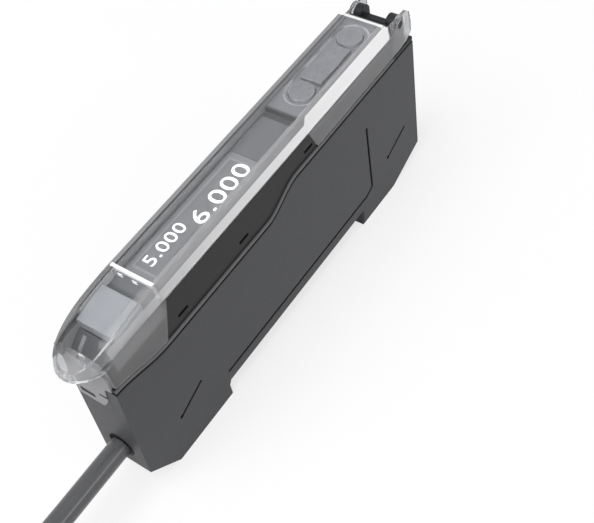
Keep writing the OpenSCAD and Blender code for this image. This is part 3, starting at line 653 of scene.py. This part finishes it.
def hole_shadow_ring(finish):
    """A thin black ring round the lead at the hole, in the grommet's rubber finish: a dark piece put where the gap
    round the lead lies in shadow, a painted shadow.
    """
    front, back, inside, outside, height = -0.03368, -0.03332, 0.00158, 0.00204, 0.0084

    def build(form):
        corners = ((front, inside), (front, outside), (back, outside), (back, inside))
        form.faces.new([form.verts.new((x, 0, radius)) for x, radius in corners])
        bmesh.ops.spin(
            form, geom=form.verts[:] + form.edges[:] + form.faces[:], cent=(0, 0, 0), axis=(1, 0, 0), dvec=(0, 0, 0),
            angle=math.tau, steps=48, use_merge=True, use_duplicate=False,
        )
        bmesh.ops.remove_doubles(form, verts=form.verts, dist=0.000001)
        bmesh.ops.translate(form, verts=form.verts, vec=(0, 0, height))

    made = mesh_object("hole_shadow_ring", build, [finish])
    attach(made, "housing")


def socket_block(housing, finishes):
    """The block under the nose: its face plate with the slot and the step, and the body that fills the opening."""
    near, far = housing.socket_near, housing.socket_far
    outline = (
        (far, 0.01866), (-0.00055, 0.01866), (-0.00125, 0.01964), (-0.00184, 0.0207), (-0.00184, 0.02165),
        (-0.00215, 0.0235), (near, 0.0238), (near, 0.0262), (near + 0.0005, 0.0272), (near + 0.0010, 0.0283),
        (far, 0.0283),
    )
    plate_front, plate_depth = -0.0001, 0.0006
    # The slot and the step in the plate: their sides along Y, their ends along Z and how deep they are.
    slot = (0.0006, 0.0030), (0.01955, 0.02040), 0.0005
    step = (-0.0030, -0.0006), (0.02115, 0.02155), 0.00035
    # The front face is raked: it lies at front where the rake begins, and goes back by rake over its height.
    front, rake, rake_from, rake_height = -0.0338, 0.0009, 0.0047, 0.0187

    def cut(form, axis, place):
        """Cuts the plate's face where that coordinate is reached."""
        at, across = Vector(), Vector()
        at[axis], across[axis] = place, 1
        geom = form.verts[:] + form.edges[:] + form.faces[:]
        bmesh.ops.bisect_plane(form, geom=geom, plane_co=at, plane_no=across)

    def sink(form, sides, ends, down):
        """Sinks the part of the front between these places, and gives it and its walls the near-black finish: painted
        shade in the slot and the step.
        """
        chosen = []
        for face in form.faces:
            middle = face.calc_center_median()
            if (middle.x < 0 and abs(face.normal.x) > 0.9
                    and sides[0] < middle.y < sides[1] and ends[0] < middle.z < ends[1]):
                chosen.append(face)
        walls = bmesh.ops.inset_region(form, faces=chosen, thickness=0.00002, depth=0)["faces"]
        bmesh.ops.translate(form, verts=list({v for f in chosen for v in f.verts}), vec=(down, 0, 0))
        for face in chosen + walls:
            face.material_index = 2

    def build(form):
        form.faces.new([form.verts.new((plate_front, y, z)) for y, z in outline])
        for place in slot[0]:
            cut(form, 1, place)
        for place in slot[1] + step[1]:
            cut(form, 2, place)
        cut(form, 1, step[0][1])
        drawn = bmesh.ops.extrude_face_region(form, geom=list(form.faces), use_keep_orig=True)["geom"]
        back = [v for v in drawn if isinstance(v, bmesh.types.BMVert)]
        bmesh.ops.translate(form, verts=back, vec=(plate_depth, 0, 0))
        form.normal_update()
        sink(form, *slot)
        sink(form, *step)
        body = block(form, (-0.00001, -0.0022, 0.01842), (0.0012, 0.0022, 0.0234))
        for face in {f for v in body for f in v.link_faces}:
            face.material_index = 1
        for v in form.verts:
            v.co.x += front + rake * (v.co.z - rake_from) / rake_height

    made = mesh_object("socket_block", build, finishes, smooth=False)
    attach(made, "housing")
    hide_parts("head_socket")


def reading(name, digits, centre, height, length, thick, finish):
    """A row of lit digits as a flat mesh, fitted to its place on the window."""
    text = bpy.data.curves.new(name, "FONT")
    text.body = digits
    text.offset = 0.003
    text.space_character = 1.06
    text.extrude = 0.5
    text.resolution_u = 6
    holder = scene_object(name, text)
    bpy.context.view_layer.update()
    mesh = bpy.data.meshes.new_from_object(holder.evaluated_get(bpy.context.evaluated_depsgraph_get()))
    bpy.data.objects.remove(holder)
    low = Vector([min(v.co[i] for v in mesh.vertices) for i in range(3)])
    high = Vector([max(v.co[i] for v in mesh.vertices) for i in range(3)])
    size = [wanted / own for wanted, own in zip((length, height, thick), high - low)]
    fit = Matrix.Translation(centre) @ Matrix.Diagonal((*size, 1)) @ Matrix.Translation(-(low + high) / 2)
    mesh.transform(fit)
    mesh.materials.clear()
    mesh.materials.append(finish.material)
    made = scene_object(name, mesh)
    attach(made, "housing")


# ---------------------------------------------------------------- operators

class AMPLIFIER_OT_stage(bpy.types.Operator):
    """Places the camera, the pale floor, the lamps and the world"""

    bl_idname = "amplifier.stage"
    bl_label = "Camera, floor and light"

    def execute(self, context):
        stage = context.scene.amplifier_stage
        lens = bpy.data.cameras.new("camera")
        lens.lens, lens.sensor_width, lens.clip_start = stage.lens, 36, 0.005
        camera = scene_object("camera", lens)
        camera.location, camera.rotation_euler = stage.eye, stage.turn
        context.scene.camera = camera
        context.scene.view_settings.view_transform = "Standard"

        pale = Finish("pale_floor", {"Roughness": 0.75, "Specular IOR Level": 0.1})
        pale.feed(Base_Color=pale.mottled(pale.noise(0.05, 3), stage.floor_colour, 0.015))
        glow = pale.node("ShaderNodeEmission", None, {"Color": (1, 1, 1), "Strength": 1})
        pale.overlay(pale.seen() * stage.floor_white, glow)
        half = stage.floor_size / 2
        floor = mesh_object(
            "floor", lambda form: bmesh.ops.create_grid(form, x_segments=4, y_segments=4, size=half), [pale]
        )

        world = bpy.data.worlds.new("surroundings")
        world.use_nodes = True
        context.scene.world = world
        sky = Nodes(world.node_tree)
        level = stage.world_level + sky.seen() * (1 - stage.world_level)
        sky.set(sky.tree.nodes["Background"], {"Color": (1, 1, 1), "Strength": level})

        aim = Vector((0, 0, 0.015))
        for name, place, size, power in (
            ("key_lamp", (-0.30, 0.05, 0.55), (0.45, 0.45), stage.key_power),
            ("strip_lamp", (0.05, -0.55, 0.30), (0.50, 0.16), stage.fill_power),
        ):
            light = bpy.data.lights.new(name, "AREA")
            light.shape, light.size, light.size_y, light.energy = "RECTANGLE", *size, power
            lamp = scene_object(name, light)
            lamp.location = place
            lamp.rotation_euler = (Vector(place) - aim).to_track_quat("Z", "Y").to_euler()
        return {"FINISHED"}


class AMPLIFIER_OT_lead(bpy.types.Operator):
    """Lays the lead out of the grommet and folds the rest of it into a tied hank"""

    bl_idname = "amplifier.lead"
    bl_label = "Lead"

    def execute(self, context):
        lead = context.scene.amplifier_lead
        points = smooth_line(lead_route(lead), parts=3, count=16)
        curve = bpy.data.curves.new("lead", "CURVE")
        curve.dimensions = "3D"
        curve.bevel_depth = lead.diameter / 2
        curve.bevel_resolution = 6
        curve.use_fill_caps = True
        spline = curve.splines.new("POLY")
        spline.points.add(len(points) - 1)
        for point, place in zip(spline.points, points):
            point.co = (*place, 1)
        spline.use_smooth = True
        made = scene_object("lead", curve)
        curve.materials.append(cable_plastic("lead_jacket", lead.jacket_colour, 0.2, 0.7).material)
        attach(made, "housing")
        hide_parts("cable", "cable_coil")
        length = sum((b - a).length for a, b in zip(points, points[1:]))
        ties = [hank_tie(lead, 1), hank_tie(lead, 2)]
        return {"FINISHED"}


class AMPLIFIER_OT_lead_ends(bpy.types.Operator):
    """Colours the four bared wires at the lead's end and tins their tips"""

    bl_idname = "amplifier.lead_ends"
    bl_label = "Wire ends"

    def execute(self, context):
        lead = context.scene.amplifier_lead
        apart, reach, stagger, height, tinned = 0.00075, 0.017, 0.002, 0.01945, 0.004
        for i, colour in enumerate(WIRE_COLOURS):
            finish = cable_plastic("wire_end_%d" % (i + 1), colour, 0.38)
            side = lead.fold + lead.diameter + (1.5 - i) * apart
            tip = (lead.hank_x + lead.cut - reach + stagger * (i % 2), -side, height)
            ends = {0: finish.place(), 1: tip}
            away = finish.node("ShaderNodeVectorMath", {"operation": "DISTANCE"}, ends, "Value")
            bare = finish.rise(away, tinned + 0.0002, tinned)
            finish.feed(Base_Color=finish.mix(bare, finish.tone, (0.62, 0.6, 0.56)), Metallic=bare)
            dress(["lead_end_%d" % (i + 1)], finish)
        return {"FINISHED"}


class AMPLIFIER_OT_case(bpy.types.Operator):
    """Finishes the lower case and the rubber grommet, and closes the hole round the lead with a black ring that stands
    in for the gap's shadow
    """

    bl_idname = "amplifier.case"
    bl_label = "Case"

    def execute(self, context):
        housing = context.scene.amplifier_housing
        colour = housing.case_colour
        finish = moulded_plastic("case_grain", colour, 0.5, edge=housing.edge_round)
        x, y, z = finish.axes()
        side = abs(y)
        panel = finish.within(x, -32.2, 35.4) * finish.rise(z, 3.4, 3.6)
        # The side panels' recessed faces and the up-facing top edge near the nose are painted near black: painted shade
        # in the grooves and the gap.
        sunk = finish.rise(side, 3.97, 3.92) * panel
        lip = finish.rise(finish.facing("Z"), 0.5, 0.7) * finish.rise(z, 20.0, 20.4) * finish.rise(x, -33.6, -33.2)
        # The top edge steps up towards the nose and under the keys; a band just under it is painted dark, a painted
        # shadow of the gap there.
        edge = 21.6 + finish.rise(x, -23.5, -33.0) * 1.8 + finish.rise(x, -2.0, 5.5) * 2.7
        # Painted shade: a soft dark band along the slits and the catch arm's lines, wider than the cut grooves.
        slit_and_gap_shade = sum(finish.line(x, z, start, end, 0.4) for start, end in SIDE_LINES)
        slit_and_gap_shade = (slit_and_gap_shade + finish.rise(z - edge, -0.30, -0.12)).least(1) * finish.rise(side, 3.4, 3.6)
        finish.feed(Base_Color=finish.painted(
            finish.tone, (slit_and_gap_shade * 0.75, shade(colour, 0.25)), (sunk.most(lip) * 0.92, shade(colour, 0.08)),
        ))
        dress(["case"], finish)
        rubber = cable_plastic("grommet_rubber", (0.006, 0.006, 0.0063), 0.6, 0.12)
        dress(["cable_grommet"], rubber)
        hole_shadow_ring(rubber)
        return {"FINISHED"}


class AMPLIFIER_OT_frame(bpy.types.Operator):
    """Finishes the frame: dark outer panels, paler deck and near-black hinge lugs"""

    bl_idname = "amplifier.frame"
    bl_label = "Frame"

    def execute(self, context):
        housing = context.scene.amplifier_housing
        finish = moulded_plastic("frame_grain", housing.frame_colour, 0.44, edge=housing.edge_round)
        finish.set(finish.shader, {"Specular IOR Level": 0.18})
        x, y, z = finish.axes()
        side = abs(y)
        sideways = finish.rise(abs(finish.facing("Y")), 0.5, 0.8)
        middle = finish.rise(side - finish.rise(y, -1, 1) * 0.5, 3.35, 3.2)
        slope = finish.rise(x, -23.0, -23.6) * finish.rise(z, 23.8, 24.2) * (1 - sideways)
        deck = middle * slope.most(finish.rise(z, 28.5, 28.9))
        # A darker band at the step between the display and the keys: painted shade of that step.
        groove = finish.within(x, KEY_FIELD - 1.3, KEY_FIELD) * deck
        # The key field is paler, and a band along the deck's far edge is painted lighter: painted light.
        keys, far_edge_painted_light = finish.rise(x, KEY_FIELD, KEY_FIELD + 0.4) * deck, finish.rise(y, 2.9, 3.1) * deck
        # Painted highlight: glints along the rim of the keys' long field, which has round ends, broken up by noise.
        middle_x, half_length = 20.1, 6.25
        along = (abs(x - middle_x) - half_length).most(0)
        rim = finish.within(along.hypot(y), 2.32, 2.58, 0.06) * finish.rise(finish.noise(0.003), 0.40, 0.52) * deck
        shadow = middle * finish.rise(z, 28.2, 27.8) * sideways
        bead, lugs = finish.rise(side, 3.83, 3.89), finish.rise(x, EARS + 0.1, EARS + 0.5)
        paint = housing.deck_colour
        finish.feed(Base_Color=finish.painted(
            finish.tone,
            (deck, finish.mottled(finish.noise(0.004), paint, 0.07)),
            (groove * 0.8, shade(paint, 0.25)),
            (slope * middle * 0.8, shade(paint, 0.4)),
            (keys, shade(paint, 1.36)),
            (far_edge_painted_light, shade(paint, 1.8)),
            (rim * 0.85, shade(paint, 3.2)),
            (shadow * 0.9, shade(housing.frame_colour, 0.1)),
            (bead * 0.8, housing.bead_colour),
            (lugs, housing.hinge_colour),
        ))
        dress(["top_frame"], finish)
        return {"FINISHED"}


class AMPLIFIER_OT_front(bpy.types.Operator):
    """Makes the socket block, and finishes its pins, the frosted lens and what lights it"""

    bl_idname = "amplifier.front"
    bl_label = "Socket and lens"

    def execute(self, context):
        housing = context.scene.amplifier_housing
        plate = moulded_plastic("socket_satin", housing.socket_colour, 0.4, 0.0002, 0.000004, wear_and_glint=0.2)
        body = moulded_plastic("opening_fill", housing.case_colour, 0.5)
        # Painted shade: the slot's and the step's sunk faces take this near-black finish.
        mouth = moulded_plastic("socket_slot_shade", (0.02, 0.02, 0.021), 0.5)
        socket_block(housing, (plate, body, mouth))
        dress(["socket_pin_%d" % i for i in (1, 2, 3, 4)], brushed_metal("pin_plating", (0.75, 0.52, 0.2), 0.22))

        lens = Finish("lens_frost", {
            "IOR": 1.49, "Subsurface Weight": 0.25, "Subsurface Radius": (0.002, 0.002, 0.0022),
            "Subsurface Scale": 0.4,
        })
        cloud = lens.noise(0.003, 3)
        rims = lens.rise(abs(lens.axes()[1]), 2.3, 2.9)
        lens.feed(
            Base_Color=lens.painted(
                lens.mottled(cloud, housing.lens_colour, 0.08), (rims * 0.5, shade(housing.lens_colour, 1.5))
            ),
            Roughness=0.28 + cloud * 0.12,
            Normal=lens.bump(lens.noise(0.0001), 0.000004, lens.rounded(0.00015)),
        )
        dress(["indicator_lens", "light_guide"], lens)

        led = Finish("led_milk", {"Roughness": 0.35, "IOR": 1.5})
        milk = led.mix(led.noise(0.0006, 2), (0.72, 0.7, 0.6), (0.9, 0.89, 0.84))
        led.feed(Base_Color=milk, Normal=led.rounded(0.0001))
        dress(["indicator_led_1", "indicator_led_2"], led)
        return {"FINISHED"}


class AMPLIFIER_OT_display(bpy.types.Operator):
    """Finishes the window and lays the two readings on it"""

    bl_idname = "amplifier.display"
    bl_label = "Display"

    def execute(self, context):
        display = context.scene.amplifier_display
        window = Finish("window_gloss", {"IOR": 1.5, "Coat Roughness": 0.03})
        x, y = window.axes()[:2]
        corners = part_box("display_window")
        low, high = ([place / MM for place in corner] for corner in corners)

        def field(end, near, far):
            """1 on the window, but for its ends and its near and far edge."""
            within_ends = window.within(x, low[0] + end, high[0] - end, 0.1)
            return within_ends * window.within(y, low[1] + near, high[1] - far, 0.1)

        live = field(1.2, 0.3, 0.8)
        rim = (field(0.9, 0.1, 0.5) - live).most(0)
        dots = window.rise(window.cells(6500, {"distance": "CHEBYCHEV"}, Randomness=0), 0.4, 0.5)
        dust = window.rise(window.noise(0.0012, 4), 0.58, 0.7)
        window.feed(
            Base_Color=window.painted(
                window.mottled(window.noise(0.006), display.window_colour, 0.05),
                (live * (0.32 + dots * 0.06), shade(display.window_colour, 0.45)),
                (rim * 0.5, shade(display.window_colour, 1.5)),
            ),
            Roughness=0.1 + dust * 0.08,
            Normal=window.bump(window.noise(0.012), 0.00002, window.rounded(0.0001), 0.4),
        )
        dress(["display_window"], window)
        dress(["display_module"], moulded_plastic("module_black", (0.02, 0.02, 0.022), 0.35))

        lit = Finish("reading_white", {"Roughness": 0.5, "Emission Strength": 0.8})
        grain = lit.noise(0.0003)
        lit.feed(
            Base_Color=lit.mix(grain, shade(display.reading_colour, 0.7), shade(display.reading_colour, 0.8)),
            Emission_Color=lit.mix(grain, shade(display.reading_colour, 0.93), display.reading_colour),
        )
        top = corners[1][2] + 0.00003
        for name, digits, place, height, length in (
            ("reading_main", display.main_text, (-0.0055, -0.00058), display.main_height, 0.0107),
            ("reading_small", display.small_text, (-0.01545, 0.0006), display.small_height, 0.0071),
        ):
            reading(name, digits, Vector((*place, top)), height, length, 0.00004, lit)
        return {"FINISHED"}


class AMPLIFIER_OT_keys(bpy.types.Operator):
    """Finishes the keys and the switches under them"""

    bl_idname = "amplifier.keys"
    bl_label = "Keys"

    def execute(self, context):
        housing = context.scene.amplifier_housing
        finish = moulded_plastic("key_satin", housing.key_colour, 0.28, 0.0002, 0.000003, 0.00016, 0.9)
        x, y, z = finish.axes()
        # Painted highlight: the keys' rims are made paler where they would glint, in patches on the key tops.
        wear_and_glint = finish.rise(finish.noise(0.0025), 0.38, 0.5) * finish.rise(z, 30.3, 30.5)
        for name in ("set_button", "mode_button"):
            low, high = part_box(name)
            middle, radius = (low[0] + high[0]) / 2 / MM, (high[1] - low[1]) / 2 / MM
            rim = finish.within((x - middle).hypot(y), radius - 0.34, radius - 0.12, 0.06)
            finish.tone = finish.mix(rim * wear_and_glint * 0.7, finish.tone, shade(housing.key_colour, 2.6))
        finish.feed(Base_Color=finish.tone)
        dress(["set_button", "mode_button", "rocker_key"], finish)
        dress(["key_switch_%d" % i for i in (1, 2, 3, 4)], brushed_metal("switch_steel", (0.6, 0.6, 0.62), 0.28))
        return {"FINISHED"}


class AMPLIFIER_OT_boards(bpy.types.Operator):
    """Finishes the boards, the chips and the wires inside the housing"""

    bl_idname = "amplifier.boards"
    bl_label = "Boards and wires"

    def execute(self, context):
        board = Finish("board_lacquer", {"IOR": 1.5})
        tracks = board.cells(620, {"distance": "CHEBYCHEV"})
        lines = board.rise(tracks, 0.4, 0.43) * board.rise(tracks, 0.55, 0.52)
        pads = board.rise(board.cells(410), 0.17, 0.15)
        lacquer = board.mix(lines * 0.6, (0.012, 0.09, 0.04), (0.03, 0.2, 0.09))
        board.feed(
            Base_Color=board.mix(pads, lacquer, (0.72, 0.5, 0.2)),
            Metallic=pads,
            Roughness=0.32 - pads * 0.08,
            Normal=board.bump(lines + pads, 0.00002, None, 0.6),
        )
        dress(["main_board", "display_board"], board)
        resin = moulded_plastic("chip_resin", (0.014, 0.014, 0.015), 0.55, 0.00008, 0.000008)
        dress(["processor_chip", "output_driver", "board_header"], resin)
        dress(["supply_capacitor"], brushed_metal("can_aluminium", (0.62, 0.63, 0.66), 0.34))
        dress(["wire_terminal"], moulded_plastic("terminal_nylon", (0.72, 0.71, 0.66), 0.45, 0.00025))
        for i, colour in enumerate(WIRE_COLOURS):
            dress(["inner_wire_%d" % (i + 1)], cable_plastic("inner_wire_colour_%d" % (i + 1), colour, 0.38))
        return {"FINISHED"}


class AMPLIFIER_OT_cover(bpy.types.Operator):
    """Makes the hinged cover clear, with its satin skirt, hazy walls with painted shade, and painted white reflections
    and highlights on its near strip and rib
    """

    bl_idname = "amplifier.cover"
    bl_label = "Clear cover"

    def execute(self, context):
        dress(["clear_cover"], clear_plastic("cover_clear", context.scene.amplifier_cover))
        return {"FINISHED"}


class AMPLIFIER_PT_panel(bpy.types.Panel):
    """Lists the amplifier's pieces and what can be set on them"""

    bl_label = "Sensor amplifier"
    bl_idname = "AMPLIFIER_PT_panel"
    bl_space_type = "VIEW_3D"
    bl_region_type = "UI"
    bl_category = "Amplifier"

    def draw(self, context):
        for operator in OPERATORS:
            self.layout.operator(operator.bl_idname)
        for name, group in SETTINGS.items():
            box = self.layout.box()
            for value in group.__annotations__:
                box.prop(getattr(context.scene, name), value)


SETTINGS = {
    "amplifier_stage": AmplifierStage,
    "amplifier_housing": AmplifierHousing,
    "amplifier_cover": AmplifierCover,
    "amplifier_display": AmplifierDisplay,
    "amplifier_lead": AmplifierLead,
}
OPERATORS = (
    AMPLIFIER_OT_stage, AMPLIFIER_OT_lead, AMPLIFIER_OT_lead_ends, AMPLIFIER_OT_case, AMPLIFIER_OT_frame,
    AMPLIFIER_OT_front, AMPLIFIER_OT_display, AMPLIFIER_OT_keys, AMPLIFIER_OT_boards, AMPLIFIER_OT_cover,
)


def register():
    """Registers the settings, the operators and the panel."""
    for name, group in SETTINGS.items():
        bpy.utils.register_class(group)
        setattr(bpy.types.Scene, name, PointerProperty(type=group))
    for item in (*OPERATORS, AMPLIFIER_PT_panel):
        bpy.utils.register_class(item)


def unregister():
    """Takes them all away again."""
    for item in reversed((*OPERATORS, AMPLIFIER_PT_panel)):
        bpy.utils.unregister_class(item)
    for name, group in SETTINGS.items():
        delattr(bpy.types.Scene, name)
        bpy.utils.unregister_class(group)


def main():
    """Runs every operator in order."""
    register()
    bpy.ops.amplifier.stage()
    bpy.ops.amplifier.lead()
    bpy.ops.amplifier.lead_ends()
    bpy.ops.amplifier.case()
    bpy.ops.amplifier.frame()
    bpy.ops.amplifier.front()
    bpy.ops.amplifier.display()
    bpy.ops.amplifier.keys()
    bpy.ops.amplifier.boards()
    bpy.ops.amplifier.cover()
    bpy.context.view_layer.update()


if __name__ == "__main__":
    main()
